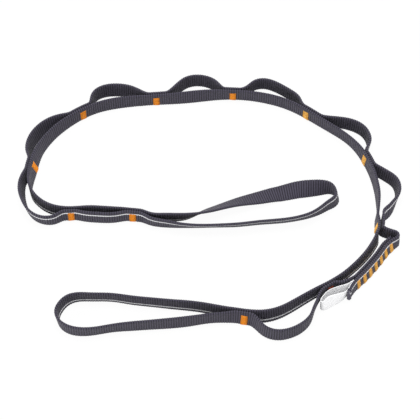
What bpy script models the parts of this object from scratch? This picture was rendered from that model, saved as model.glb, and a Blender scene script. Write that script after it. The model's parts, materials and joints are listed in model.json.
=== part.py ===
"""Climbing daisy chain: one strap of nylon webbing, sewn into a closed loop and bar-tacked flat
into ten pockets with a loop at each end.

The strap stands on its edge and lies in a ring, open at one side. The strand nearest to the middle of
the ring is the main strand; the slacker one outside it bulges into the pockets. Metres, +Z up, angles
in degrees. Tacks are counted from the long end loop to the short one.

A strap bends anywhere. Here it bends at upright hinges, one beside each bar tack, where its two layers
meet the next pair in round ends.
"""
import math

import bmesh
import bpy
import numpy as np
from mathutils import Matrix, Vector

NAME = "climbing_daisy_chain"

# Webbing
WEBBING_WIDTH = 0.018
WEBBING_THICKNESS = 0.0026
WEBBING_EDGE_RADIUS = 0.0009
CLEARANCE = 0.0003

# Main strand: the distance between tacks, and its heading and lean at each tack and half way to the
# next one, with a short lead beyond the first tack and the last. A lean is positive where the top edge
# falls outward, away from the middle of the ring.
POCKET_PITCH = 0.080
PITCH_SHARES = (0.79, 1.02, 1.00, 0.99, 0.99, 1.00, 1.00, 1.02, 1.11, 1.13)
LEAD_SHARE = 0.20
HEADINGS = (
    168, 175, 176, 184, 121, 76, 52, 32, 10, 4, 7, -2,
    -16, -35, -38, -64, -84, -97, -132, -147, -149, -190, -190,
)
LEANS = (0, 0, 3, -2, 2, 13, 13, 3, 5, 2, 9, -1, 1, 2, 1, 7, 6, 1, 0, -3, -10, -15, -10)

# Pockets: where the outer strand leaves the main one, where it comes back, and the points (along, out,
# lean) between, as shares of the distance between tacks and of the pocket depth.
POCKET_DEPTH = 0.020
POCKET_SHARES = {
    0: (0.06, 0.95, ((0.25, 0.27, 1), (0.55, 0.35, 0), (0.80, 0.26, 0))),
    1: (0.05, 0.91, (
        (0.15, 0.40, 0), (0.33, 0.70, 11), (0.51, 0.60, 15), (0.70, 0.43, 11), (0.82, 0.25, 10),
    )),
    2: (0.04, 0.88, (
        (0.12, 0.35, 14), (0.23, 0.58, 16), (0.40, 0.68, 18), (0.62, 0.54, 16), (0.77, 0.29, 9),
    )),
    3: (0.12, 0.92, (
        (0.19, 0.42, 4), (0.26, 0.74, 6), (0.37, 0.87, 10), (0.51, 0.82, 12), (0.69, 0.59, 9),
        (0.82, 0.28, 4),
    )),
    4: (0.12, 0.91, (
        (0.21, 0.31, 5), (0.31, 0.65, 6), (0.42, 0.89, 6), (0.54, 0.95, 5), (0.68, 0.81, 5),
        (0.80, 0.46, 3),
    )),
    5: (0.08, 0.95, (
        (0.17, 0.30, -1), (0.25, 0.64, 0), (0.35, 0.82, 1), (0.52, 0.75, 2), (0.68, 0.57, 2),
        (0.83, 0.37, 2),
    )),
    6: (0.18, 0.96, (
        (0.30, 0.27, 3), (0.44, 0.55, 6), (0.58, 0.80, 8), (0.70, 0.88, 7), (0.80, 0.77, 6),
        (0.89, 0.46, 6),
    )),
    7: (0.14, 0.87, (
        (0.23, 0.33, 8), (0.32, 0.67, 9), (0.41, 0.97, 10), (0.51, 1.05, 11), (0.61, 0.93, 10),
        (0.71, 0.56, 7), (0.78, 0.27, 4),
    )),
    9: (0.05, 0.95, (
        (0.15, 0.24, 0), (0.22, 0.42, 4), (0.30, 0.64, 3), (0.40, 0.97, 0), (0.52, 1.14, -4),
        (0.63, 1.16, -5), (0.74, 1.02, -6), (0.81, 0.78, -7), (0.87, 0.43, -10),
    )),
}

# Splice: the two ends of the strap, overlapped and sewn in the ninth pocket. The outer layer leaves the
# main strand as a pocket does, turns round the inner layer's end in a fold, is sewn to it along the
# seam, and flares at its own end. The inner layer runs on from the seam to rejoin the main strand.
SPLICE_STRETCH = 8
SPLICE_LEAVES_SHARE = 0.048
SPLICE_FOLD_SHARES = (
    (0.073, 0.26, 1), (0.090, 0.48, 1), (0.096, 0.74, 1), (0.107, 0.93, 1), (0.133, 1.02, 1),
    (0.168, 0.91, 1),
)
SPLICE_SEAM_SHARES = (
    (0.21, 0.77, 1), (0.267, 0.67, 1), (0.353, 0.62, 1), (0.44, 0.61, 1), (0.535, 0.62, 1),
    (0.62, 0.65, 1), (0.726, 0.70, 1),
)
SPLICE_TAIL_SHARES = ((0.793, 0.77, 1), (0.84, 0.86, 1), (0.888, 0.97, 1))
SPLICE_REJOIN_SHARES = ((0.782, 0.46, -3), (0.833, 0.42, -3), (0.895, 0.29, -2))
SPLICE_REJOINS_SHARE = 0.955
SPLICE_GAP = 0.0008
SPLICE_INNER_LEAN = -3
SPLICE_END_MARGIN = 0.0012

# End loops: points (away from the last tack, out, lean), as shares of the loop's length. The long one
# starts turned half over and rolls back on its way to the tip.
LONG_LOOP_LENGTH = 0.200
LONG_LOOP_START_ROLL = 180
LONG_LOOP_SHARES = (
    (0.085, 0.011, 178), (0.16, 0.008, 174), (0.26, -0.005, 168), (0.36, -0.050, 148), (0.43, -0.078, 139),
    (0.52, -0.123, 124), (0.62, -0.166, 100), (0.72, -0.204, 82), (0.757, -0.209, 59), (0.795, -0.214, 38),
    (0.87, -0.225, 24), (0.93, -0.234, 17), (0.968, -0.232, 4), (0.994, -0.213, -6), (1.004, -0.186, -10),
    (0.994, -0.160, -8), (0.967, -0.136, -3), (0.93, -0.104, 4), (0.89, -0.076, 12), (0.83, -0.049, 18),
    (0.73, -0.022, 20), (0.63, -0.004, 21), (0.53, 0.017, 22), (0.435, 0.030, 24), (0.335, 0.041, 24),
    (0.235, 0.044, 20), (0.16, 0.041, 11), (0.085, 0.032, 3),
)
SHORT_LOOP_LENGTH = 0.180
SHORT_LOOP_SHARES = (
    (0.09, 0.027, -7), (0.15, 0.041, -2), (0.20, 0.056, 0), (0.28, 0.085, 2), (0.38, 0.121, 3),
    (0.485, 0.146, 3), (0.59, 0.168, 4), (0.69, 0.201, 5), (0.77, 0.232, 5), (0.847, 0.251, 6),
    (0.918, 0.250, 8), (0.968, 0.221, 10), (0.990, 0.174, 11), (0.982, 0.121, 8), (0.951, 0.073, 3),
    (0.90, 0.046, -2), (0.84, 0.035, -5), (0.72, 0.022, -5), (0.62, 0.015, -5), (0.51, 0.012, -5),
    (0.40, 0.007, -4), (0.29, -0.001, -1), (0.21, -0.005, 3), (0.095, -0.001, 10),
)

# Bar tacks: rows of stitches through both layers, sunk a little into their faces
TACK_LENGTH = 0.0068
SPLICE_TACK_LENGTH = 0.0046
SPLICE_TACK_PITCH = 0.0088
SPLICE_TACKS = 7
SPLICE_FIRST_TACK_SHARE = 0.203
TACK_HEIGHT = 0.0124
TACK_EDGE_MARGIN = 0.0009
TACK_PROUD = 0.0003
TACK_SUNK = 0.0004
TACK_STITCH_WIDTH = 0.0012

# Label: a folded loop of thin tape caught in the splice's end. Points (along, out, lean) from the tack
# after the splice, as shares of the pocket pitch and depth.
LABEL_WIDTH = 0.017
LABEL_THICKNESS = 0.0005
LABEL_EDGE_RADIUS = 0.00012
LABEL_SHARES = (
    (-0.262, 0.632, -1), (-0.21, 0.68, 0), (-0.16, 0.765, 2), (-0.105, 0.83, 4), (-0.04, 0.83, -2),
    (0.04, 0.78, -10), (0.125, 0.74, -13), (0.18, 0.76, -7), (0.21, 0.74, -1), (0.222, 0.675, 2),
    (0.21, 0.575, 1), (0.165, 0.46, -2), (0.08, 0.35, -3), (-0.015, 0.375, -3), (-0.11, 0.48, -3),
    (-0.205, 0.58, -2), (-0.262, 0.593, -1),
)

# Hinges: the side of each tack that its hinge is on, -1 towards the long end loop. A drum on the axis
# hollows the ends that carry, and a block behind the axis, less the drum, rounds the ends they carry.
# The block's reach is a share of the drum's radius, and both run past the webbing's edges by a share
# of its width.
HINGE_SIDES = (-1, -1, -1, -1, -1, 1, 1, 1, -1, 1, 1)
HINGE_RADIUS = 0.006
HINGE_OVERRUN = 0.0015
HINGE_OFFSET = TACK_LENGTH / 2 + HINGE_RADIUS + 2 * CLEARANCE
BLOCK_REACH_SHARE = 2.0
CUTTER_MARGIN_SHARE = 0.5
DRUM_FACETS = 64

# The stretch between tacks that carries all the others, counted from 0
MIDDLE_STRETCH = 4

# Fineness: steps between two points of a curve and along each pocket of the main strand, the length of
# a step where the strands are sewn together, the spacing of the webbing's sections and the label's, the
# length that a turn of one radian counts for in it, and the distance within which a cap's corners are
# welded, as a share of the edge radius
CURVE_STEPS = 24
POCKET_STEPS = 48
SEWN_STEP = 0.0006
SECTION_SPACING = 0.0062
LABEL_SPACING = 0.0024
SECTION_TURN_LENGTH = 0.011
WELD_SHARE = 0.01

LAYER_PITCH = WEBBING_THICKNESS + CLEARANCE
PITCHES = POCKET_PITCH * np.array(PITCH_SHARES)
TACK_AT = np.concatenate([[0], np.cumsum(PITCHES)])
LEAD = POCKET_PITCH * LEAD_SHARE


def start():
    for obj in list(bpy.data.objects):
        bpy.data.objects.remove(obj)
    bpy.context.scene.unit_settings.system = "METRIC"
    collections = []
    for name in (NAME, NAME + "_cutters"):
        made = bpy.data.collections.new(name)
        bpy.context.scene.collection.children.link(made)
        collections.append(made)
    return collections


PARTS, CUTTERS = start()


def material(name, colour, roughness):
    made = bpy.data.materials.new(name)
    made.use_nodes = True
    shader = made.node_tree.nodes["Principled BSDF"]
    shader.inputs["Base Color"].default_value = (*colour, 1)
    shader.inputs["Roughness"].default_value = roughness
    shader.inputs["Metallic"].default_value = 0
    return made


WEBBING = material("nylon_webbing", (0.052, 0.048, 0.060), 0.75)
THREAD = material("tack_thread", (0.80, 0.22, 0.010), 0.60)
TAPE = material("label_tape", (0.78, 0.79, 0.80), 0.55)


def slopes_of(knots, values, first, last):
    """Slopes of the smoothest curve through the values; first and last are its end slopes."""
    step = np.diff(knots)
    rise = np.diff(values, axis=0) / step[:, None]
    count = len(knots)
    matrix = np.eye(count)
    right = np.zeros_like(values)
    right[0] = rise[0] if first is None else first
    right[-1] = rise[-1] if last is None else last
    for i in range(1, count - 1):
        matrix[i, i - 1: i + 2] = step[i], 2 * (step[i - 1] + step[i]), step[i - 1]
        right[i] = 3 * (step[i] * rise[i - 1] + step[i - 1] * rise[i])
    return np.linalg.solve(matrix, right)


def eased(share, step, ends, slopes):
    """Values between two ends, which they leave and reach with the given slopes."""
    return (
        ends[0] * (2 * share**3 - 3 * share**2 + 1)
        + ends[1] * (3 * share**2 - 2 * share**3)
        + step * slopes[0] * (share**3 - 2 * share**2 + share)
        + step * slopes[1] * (share**3 - share**2)
    )


def curve_through(points, first=None, last=None):
    """Dense rows (x, y, lean) along the curve through such rows; first and last are its end directions."""
    points = np.array(points, float)
    knots = np.concatenate([[0], np.cumsum(np.hypot(*np.diff(points[:, :2], axis=0).T))])
    ends = [None if end is None else np.array([*end, 0]) for end in (first, last)]
    slopes = slopes_of(knots, points, *ends)
    share = np.linspace(0, 1, CURVE_STEPS, endpoint=False)[:, None]
    rows = [
        eased(share, knots[i + 1] - knots[i], points[i: i + 2], slopes[i: i + 2])
        for i in range(len(knots) - 1)
    ]
    return np.concatenate(rows + [points[-1:]])


def through_knots(knots, values, at):
    """A smooth curve through one value at each knot."""
    slopes = np.gradient(values, knots)
    i = np.clip(np.searchsorted(knots, at, side="right") - 1, 0, len(knots) - 2)
    step = knots[i + 1] - knots[i]
    share = (at - knots[i]) / step
    return eased(share, step, (values[i], values[i + 1]), (slopes[i], slopes[i + 1]))


def main_line():
    """Rows (distance, heading, x, y, lean) of the main strand; distance is counted from the first tack."""
    halves = np.repeat(PITCHES / 2, 2)
    knots = np.concatenate([[-LEAD, 0], np.cumsum(halves), [TACK_AT[-1] + LEAD]])
    distance = np.linspace(knots[0], knots[-1], POCKET_STEPS * len(PITCHES) + 1)
    heading = np.radians(through_knots(knots, np.array(HEADINGS, float), distance))
    lean = through_knots(knots, np.array(LEANS, float), distance)
    between = (heading[1:] + heading[:-1]) / 2
    steps = np.diff(distance)
    x = np.concatenate([[0], np.cumsum(np.cos(between) * steps)])
    y = np.concatenate([[0], np.cumsum(np.sin(between) * steps)])
    return np.stack([distance, heading, x, y, lean], 1)


MAIN = main_line()


def frame_at(distance):
    """(position, along, out, lean) of the main strand; past its ends it runs on straight."""
    inside = min(max(distance, MAIN[0, 0]), MAIN[-1, 0])
    heading, x, y, lean = (np.interp(inside, MAIN[:, 0], MAIN[:, i]) for i in range(1, 5))
    along = np.array([math.cos(heading), math.sin(heading)])
    return np.array([x, y]) + along * (distance - inside), along, np.array([-along[1], along[0]]), lean


def sewn_offset(lean):
    """Level distance between the centres of two layers that lie face to face."""
    return LAYER_PITCH / math.cos(math.radians(lean))


def row_at(distance, out=None, lean=None):
    """Row (x, y, lean) beside the main strand; out left out is the strand sewn to it."""
    place, _, normal, own_lean = frame_at(distance)
    out = sewn_offset(own_lean) if out is None else out
    return [*(place + normal * out), own_lean if lean is None else lean]


def sewn_rows(start, end, out=None):
    count = max(2, round(abs(end - start) / SEWN_STEP))
    return np.array([row_at(at, out) for at in np.linspace(start, end, count)])


def joined(*runs):
    """One run of rows; where two meet, the doubled row is dropped."""
    rows = [runs[0]]
    for run in runs[1:]:
        rows.append(run[1:])
    return np.concatenate(rows)


def ends_of(stretch):
    """Distances where the strands of a stretch start and end. A moving end starts before its hinge."""
    before = HINGE_RADIUS + HINGE_OVERRUN
    low, high = (TACK_AT[tack] + HINGE_SIDES[tack] * HINGE_OFFSET for tack in (stretch, stretch + 1))
    if stretch > MIDDLE_STRETCH:
        low -= before
    if stretch < MIDDLE_STRETCH:
        high += before
    return low, high


def pocket_rows(stretch):
    leaves, rejoins, shares = POCKET_SHARES[stretch]
    base, pitch = TACK_AT[stretch], PITCHES[stretch]
    start, end = ends_of(stretch)
    leave, rejoin = base + leaves * pitch, base + rejoins * pitch
    points = [row_at(leave)]
    points += [row_at(base + a * pitch, d * POCKET_DEPTH, lean) for a, d, lean in shares]
    points.append(row_at(rejoin))
    free = curve_through(points, frame_at(leave)[1], frame_at(rejoin)[1])
    return joined(sewn_rows(start, leave), free, sewn_rows(rejoin, end))


def splice_outer_rows():
    base, pitch = TACK_AT[SPLICE_STRETCH], PITCHES[SPLICE_STRETCH]
    leave = base + SPLICE_LEAVES_SHARE * pitch
    shares = SPLICE_FOLD_SHARES + SPLICE_SEAM_SHARES + SPLICE_TAIL_SHARES
    points = [row_at(leave)]
    points += [row_at(base + a * pitch, d * POCKET_DEPTH, lean) for a, d, lean in shares]
    free = curve_through(points, frame_at(leave)[1])
    return joined(sewn_rows(ends_of(SPLICE_STRETCH)[0], leave), free)


def seam_frames(distances):
    """(position, along, out) on the splice's outer layer, at distances from its first tack."""
    rows = splice_outer_rows()
    travelled = np.concatenate([[0], np.cumsum(np.hypot(*np.diff(rows[:, :2], axis=0).T))])
    base, pitch = TACK_AT[SPLICE_STRETCH], PITCHES[SPLICE_STRETCH]
    near_first = row_at(base + SPLICE_FIRST_TACK_SHARE * pitch, SPLICE_SEAM_SHARES[0][1] * POCKET_DEPTH)
    first = travelled[np.argmin(np.hypot(*(rows[:, :2] - near_first[:2]).T))]

    def place_at(distance):
        return np.array([np.interp(first + distance, travelled, rows[:, i]) for i in (0, 1)])

    frames = []
    for distance in distances:
        along = place_at(distance + SEWN_STEP / 2) - place_at(distance - SEWN_STEP / 2)
        along /= np.linalg.norm(along)
        frames.append((place_at(distance), along, np.array([-along[1], along[0]])))
    return frames


SEAM_LENGTH = SPLICE_TACK_PITCH * (SPLICE_TACKS - 1)
SEAM_LEAN = SPLICE_SEAM_SHARES[0][2]


def splice_inner_rows():
    base, pitch = TACK_AT[SPLICE_STRETCH], PITCHES[SPLICE_STRETCH]
    start = -SPLICE_TACK_LENGTH / 2 - SPLICE_END_MARGIN
    points = [
        [*(place - normal * (WEBBING_THICKNESS + SPLICE_GAP)), SPLICE_INNER_LEAN]
        for place, _, normal in seam_frames(np.linspace(start, SEAM_LENGTH, SPLICE_TACKS + 1))
    ]
    points += [row_at(base + a * pitch, d * POCKET_DEPTH, lean) for a, d, lean in SPLICE_REJOIN_SHARES]
    rejoin = base + SPLICE_REJOINS_SHARE * pitch
    points.append(row_at(rejoin))
    free = curve_through(points, None, frame_at(rejoin)[1])
    return joined(free, sewn_rows(rejoin, ends_of(SPLICE_STRETCH)[1]))


def loop_rows(tack, away, length, shares, roll):
    """Rows of an end loop beyond a tack; away is -1 before the first tack, 1 after the last.

    roll is how far its strand that continues the main one is turned over beside the tack.
    """
    base = TACK_AT[tack]
    near = base + away * (HINGE_OFFSET - HINGE_RADIUS - HINGE_OVERRUN)
    free = base + away * (HINGE_OFFSET + HINGE_OVERRUN)
    place, along, normal, _ = frame_at(base)
    points = [[*(place + along * away * a * length + normal * b * length), lean] for a, b, lean in shares]
    # Each loop's strand on the main line is the one that runs against it, so its lean is turned round.
    if away < 0:
        leaving, arriving = sewn_rows(near, free, 0), sewn_rows(free, near)
        against = leaving
    else:
        leaving, arriving = sewn_rows(near, free), sewn_rows(free, near, 0)
        against = arriving
    against[:, 2] = roll - against[:, 2]
    middle = curve_through([leaving[-1]] + points + [arriving[0]], along * away, -along * away)
    return joined(leaving, middle, arriving)


def label_rows():
    base = TACK_AT[SPLICE_STRETCH + 1]
    points = [row_at(base + a * POCKET_PITCH, d * POCKET_DEPTH, lean) for a, d, lean in LABEL_SHARES]
    return curve_through(points)


def thinned(rows, spacing):
    """Rows spread along the path, closer together where it turns or rolls."""
    step = np.diff(rows[:, :2], axis=0)
    length = np.hypot(*step.T)
    keep = np.concatenate([[True], length > 0])
    rows, step, length = rows[keep], step[keep[1:]], length[keep[1:]]
    heading = np.unwrap(np.arctan2(step[:, 1], step[:, 0]))
    turn = np.concatenate([[0], np.abs(np.diff(heading))]) + np.abs(np.radians(np.diff(rows[:, 2])))
    measure = np.concatenate([[0], np.cumsum(length + SECTION_TURN_LENGTH * turn)])
    at = np.linspace(0, measure[-1], max(3, 1 + round(measure[-1] / spacing)))
    return np.stack([np.interp(at, measure, rows[:, i]) for i in range(3)], 1)


def rest_height(lean, width, thickness, radius):
    """Height of a leaning strap's centre when its lower edge touches the ground."""
    upright, level = abs(math.cos(math.radians(lean))), abs(math.sin(math.radians(lean)))
    return upright * (width / 2 - radius) + level * (thickness / 2 - radius) + radius


def linked(name, data, collection=PARTS):
    obj = bpy.data.objects.new(name, data)
    collection.objects.link(obj)
    return obj


def section(name, width, thickness, radius):
    """Rounded rectangle that a strap's path carries along, thickness across and width up."""
    curve = bpy.data.curves.new(name, "CURVE")
    curve.dimensions = "2D"
    half_x, half_y = thickness / 2, width / 2
    corners = []
    for x, y in ((1, 1), (-1, 1), (-1, -1), (1, -1)):
        pair = [(x * half_x, y * (half_y - radius)), (x * (half_x - radius), y * half_y)]
        corners += pair if x * y > 0 else pair[::-1]
    spline = curve.splines.new("POLY")
    spline.points.add(len(corners) - 1)
    for point, (x, y) in zip(spline.points, corners):
        point.co = (x, y, 0, 1)
    spline.use_cyclic_u = True
    obj = linked(name, curve, CUTTERS)
    obj.hide_render = True
    obj.display_type = "WIRE"
    return obj


WEBBING_SIZE = WEBBING_WIDTH, WEBBING_THICKNESS, WEBBING_EDGE_RADIUS
LABEL_SIZE = LABEL_WIDTH, LABEL_THICKNESS, LABEL_EDGE_RADIUS
WEBBING_SECTION = section("webbing_section", *WEBBING_SIZE)
LABEL_SECTION = section("label_section", *LABEL_SIZE)


def strap(name, rows, profile, size, spacing, look):
    """Carries the section along the rows, then makes the curve a mesh that a Boolean can cut."""
    curve = bpy.data.curves.new(name + "_path", "CURVE")
    curve.dimensions = "3D"
    curve.twist_mode = "Z_UP"
    curve.bevel_mode = "OBJECT"
    curve.bevel_object = profile
    curve.use_fill_caps = True
    rows = thinned(rows, spacing)
    spline = curve.splines.new("POLY")
    spline.points.add(len(rows) - 1)
    for point, (x, y, lean) in zip(spline.points, rows):
        point.co = (x, y, rest_height(lean, *size), 1)
        point.tilt = -math.radians(lean)
    path = linked(name + "_path", curve)
    graph = bpy.context.evaluated_depsgraph_get()
    mesh = bpy.data.meshes.new_from_object(path.evaluated_get(graph))
    bm = bmesh.new()
    bm.from_mesh(mesh)
    bmesh.ops.remove_doubles(bm, verts=bm.verts, dist=WELD_SHARE * size[-1])
    bmesh.ops.recalc_face_normals(bm, faces=bm.faces)
    bm.to_mesh(mesh)
    bm.free()
    bpy.data.objects.remove(path)
    obj = linked(name, mesh)
    mesh.materials.clear()
    mesh.materials.append(look)
    return obj


def webbing(name, rows):
    return strap(name, rows, WEBBING_SECTION, WEBBING_SIZE, SECTION_SPACING, WEBBING)


def cut(obj, tool):
    tool.hide_render = True
    tool.display_type = "WIRE"
    modifier = obj.modifiers.new(tool.name, "BOOLEAN")
    modifier.operation = "DIFFERENCE"
    modifier.solver = "EXACT"
    modifier.object = tool


def box_mesh(bm, low, high):
    made = bmesh.ops.create_cube(bm, size=1)
    size = [b - a for a, b in zip(low, high)]
    centre = [(a + b) / 2 for a, b in zip(low, high)]
    bmesh.ops.scale(bm, vec=size, verts=made["verts"])
    bmesh.ops.translate(bm, vec=centre, verts=made["verts"])


def drum(name, radius, matrix):
    """Upright cylinder on a hinge axis, half of it below the ground, and higher than the block."""
    mesh = bpy.data.meshes.new(name)
    bm = bmesh.new()
    depth = 2 * WEBBING_WIDTH * (1 + 2 * CUTTER_MARGIN_SHARE)
    bmesh.ops.create_cone(
        bm, cap_ends=True, segments=DRUM_FACETS, radius1=radius, radius2=radius, depth=depth)
    bm.to_mesh(mesh)
    bm.free()
    obj = linked(name, mesh, CUTTERS)
    obj.matrix_world = matrix
    return obj


class Hinge:
    """An upright axis beside a tack. The carried ends are round, and the carrying ends are hollow."""

    def __init__(self, name, tack):
        self.name = name
        # The end loops and the stretches are carried from the middle stretch outward.
        away_side = -1 if tack <= MIDDLE_STRETCH else 1
        at = TACK_AT[tack] + HINGE_SIDES[tack] * HINGE_OFFSET
        place, along, normal, lean = frame_at(at)
        place = place + normal * sewn_offset(lean) / 2
        away = along * away_side
        self.axis = Vector((*place, 0))
        turn = Matrix.Rotation(math.atan2(away[1], away[0]), 4, "Z")
        matrix = Matrix.Translation(self.axis) @ turn
        self.hollow = drum(name + "_hollow", HINGE_RADIUS + CLEARANCE, matrix)
        mesh = bpy.data.meshes.new(name + "_block")
        bm = bmesh.new()
        reach = BLOCK_REACH_SHARE * HINGE_RADIUS
        margin = CUTTER_MARGIN_SHARE * WEBBING_WIDTH
        box_mesh(bm, (-reach, -reach, -margin), (0, reach, WEBBING_WIDTH + margin))
        bm.to_mesh(mesh)
        bm.free()
        self.block = linked(name + "_block", mesh, CUTTERS)
        self.block.matrix_world = matrix
        cut(self.block, drum(name + "_drum", HINGE_RADIUS, matrix))

    def carried(self, obj):
        cut(obj, self.block)

    def carrying(self, obj):
        cut(obj, self.hollow)


def tack_mesh(name, length, height, span, grow):
    """Two pads joined by a wall of stitches: x along, y through the layers, z up the webbing.

    span is the distance over both layers; grow is the room round it when it is used as a cutter.
    """
    outer = span / 2 + TACK_PROUD + grow
    inner = span / 2 - TACK_SUNK - grow
    half, stem = length / 2 + grow, TACK_STITCH_WIDTH / 2 + grow
    quarter = [(stem, inner), (half, inner), (half, outer)]
    outline = quarter + [(-x, y) for x, y in quarter[::-1]]
    outline += [(-x, -y) for x, y in outline]
    mesh = bpy.data.meshes.new(name)
    bm = bmesh.new()
    low = -height / 2 - grow
    face = bm.faces.new([bm.verts.new((x, y, low)) for x, y in outline])
    raised = bmesh.ops.extrude_face_region(bm, geom=[face])["geom"]
    tops = [item for item in raised if isinstance(item, bmesh.types.BMVert)]
    bmesh.ops.translate(bm, vec=(0, 0, height + 2 * grow), verts=tops)
    bmesh.ops.recalc_face_normals(bm, faces=bm.faces)
    bm.to_mesh(mesh)
    bm.free()
    return mesh


def tack(name, place, along, normal, lean, height_at, length, span, layers):
    """A bar tack at the middle of its layers, which it cuts to make room for its thread."""
    lean = math.radians(lean)
    up = Vector((*(normal * math.sin(lean)), math.cos(lean)))
    face = Vector((*(normal * math.cos(lean)), -math.sin(lean)))
    rotation = Matrix((Vector((*along, 0)), face, up)).transposed().to_4x4()
    drop = WEBBING_WIDTH / 2 - TACK_EDGE_MARGIN - TACK_HEIGHT / 2
    matrix = Matrix.Translation(Vector((*place, height_at)) - up * drop) @ rotation
    made = linked(name, tack_mesh(name, length, TACK_HEIGHT, span, 0))
    made.matrix_world = matrix
    made.data.materials.append(THREAD)
    room_name = name + "_room"
    room = linked(room_name, tack_mesh(room_name, length, TACK_HEIGHT, span, CLEARANCE), CUTTERS)
    room.matrix_world = matrix
    for layer in layers:
        cut(layer, room)
    return made


def chain_tack(number, layers):
    place, along, normal, lean = frame_at(TACK_AT[number])
    middle = place + normal * sewn_offset(lean) / 2
    span = LAYER_PITCH + WEBBING_THICKNESS
    height = rest_height(lean, *WEBBING_SIZE)
    name = f"bar_tack_{number + 1}"
    return tack(name, middle, along, normal, lean, height, TACK_LENGTH, span, layers)


def splice_tack(number, frame, layers):
    place, along, normal = frame
    middle = place - normal * (WEBBING_THICKNESS + SPLICE_GAP) / 2
    span = 2 * WEBBING_THICKNESS + SPLICE_GAP
    lean = (SEAM_LEAN + SPLICE_INNER_LEAN) / 2
    height = rest_height(lean, *WEBBING_SIZE)
    name = f"splice_tack_{number + 1}"
    return tack(name, middle, along, normal, lean, height, SPLICE_TACK_LENGTH, span, layers)


def empty(name, parent, place):
    """A body's empty, on the axis of its hinge."""
    made = linked(name, None)
    made.empty_display_size = HINGE_RADIUS
    made.parent = parent
    made.location = place - Vector(parent["axis"])
    made["axis"] = tuple(place)
    return made


def carried_by(body, objects):
    """Puts each object's origin on its body's axis and parents it there."""
    axis = Vector(body["axis"])
    for obj in objects:
        if obj.type == "MESH":
            obj.data.transform(Matrix.Translation(-axis) @ obj.matrix_world)
        obj.parent = body
        obj.matrix_world = Matrix.Translation(axis)
    bpy.context.view_layer.update()


def stretch_solids(stretch):
    """The main strand and the outer one of a stretch."""
    number = stretch + 1
    start, end = ends_of(stretch)
    main = webbing(f"main_strand_{number}", sewn_rows(start, end, 0))
    if stretch == SPLICE_STRETCH:
        return [main, webbing("splice_outer_layer", splice_outer_rows()),
                webbing("splice_inner_layer", splice_inner_rows())]
    return [main, webbing(f"pocket_strand_{number}", pocket_rows(stretch))]


def build():
    root = linked(NAME, None)
    root["axis"] = (0, 0, 0)
    hinges = {}
    for stretch in range(len(PITCHES)):
        if stretch < MIDDLE_STRETCH:
            hinges[stretch] = Hinge(f"hinge_{stretch + 1}", stretch + 1)
        elif stretch > MIDDLE_STRETCH:
            hinges[stretch] = Hinge(f"hinge_{stretch + 1}", stretch)
    hinges["long"] = Hinge("hinge_long_loop", 0)
    hinges["short"] = Hinge("hinge_short_loop", len(PITCHES))

    bodies = {MIDDLE_STRETCH: root}
    order = list(range(MIDDLE_STRETCH + 1, len(PITCHES))) + list(range(MIDDLE_STRETCH - 1, -1, -1))
    for stretch in order:
        inward = stretch - 1 if stretch > MIDDLE_STRETCH else stretch + 1
        bodies[stretch] = empty(f"stretch_{stretch + 1}", bodies[inward], hinges[stretch].axis)
    bodies["long"] = empty("long_loop_body", bodies[0], hinges["long"].axis)
    bodies["short"] = empty("short_loop_body", bodies[len(PITCHES) - 1], hinges["short"].axis)

    for stretch in range(len(PITCHES)):
        solids = stretch_solids(stretch)
        tacks = []
        for number, outer in ((stretch, solids[1]), (stretch + 1, solids[-1])):
            if HINGE_SIDES[number] == (-1 if number == stretch else 1):
                tacks.append(chain_tack(number, [solids[0], outer]))
        if stretch == SPLICE_STRETCH:
            distances = SPLICE_TACK_PITCH * np.arange(SPLICE_TACKS)
            for number, frame in enumerate(seam_frames(distances)):
                tacks.append(splice_tack(number, frame, solids[1:]))
            tacks.append(strap("label", label_rows(), LABEL_SECTION, LABEL_SIZE, LABEL_SPACING, TAPE))
        if stretch in hinges:
            # The splice's inner layer starts after the hinge.
            for solid in solids[:2]:
                hinges[stretch].carried(solid)
        if stretch >= MIDDLE_STRETCH:
            key = "short" if stretch == len(PITCHES) - 1 else stretch + 1
            for solid in (solids[0], solids[-1]):
                hinges[key].carrying(solid)
        if stretch <= MIDDLE_STRETCH:
            key = "long" if stretch == 0 else stretch - 1
            for solid in (solids[0], solids[-1]):
                hinges[key].carrying(solid)
        carried_by(bodies[stretch], solids + tacks)

    for key, name, number, away, length, shares in (
        ("long", "long_end_loop", 0, -1, LONG_LOOP_LENGTH, LONG_LOOP_SHARES),
        ("short", "short_end_loop", len(PITCHES), 1, SHORT_LOOP_LENGTH, SHORT_LOOP_SHARES),
    ):
        roll = LONG_LOOP_START_ROLL if away < 0 else 0
        loop = webbing(name, loop_rows(number, away, length, shares, roll))
        hinges[key].carried(loop)
        carried_by(bodies[key], [loop])
    return root, hinges, bodies


def nodes():
    return [obj for obj in PARTS.objects if obj.type == "MESH"]


def seat(root):
    """Moves the whole chain so that its box stands on the ground, centred on the origin."""
    bpy.context.view_layer.update()
    graph = bpy.context.evaluated_depsgraph_get()
    corners = []
    for obj in nodes():
        evaluated = obj.evaluated_get(graph)
        mesh = evaluated.to_mesh()
        corners += [evaluated.matrix_world @ vertex.co for vertex in mesh.vertices]
        evaluated.to_mesh_clear()
    corners = np.array(corners)
    low, high = corners.min(axis=0), corners.max(axis=0)
    shift = Vector((-(low[0] + high[0]) / 2, -(low[1] + high[1]) / 2, -low[2]))
    root.location = shift
    for obj in CUTTERS.objects:
        obj.matrix_world = Matrix.Translation(shift) @ obj.matrix_world
    bpy.context.view_layer.update()
    return shift


ROOT, HINGES, BODIES = build()
SHIFT = seat(ROOT)
for hinge in HINGES.values():
    print(hinge.name, "axis at", [round(value, 5) for value in hinge.axis + SHIFT])
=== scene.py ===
import json
import math

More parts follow.
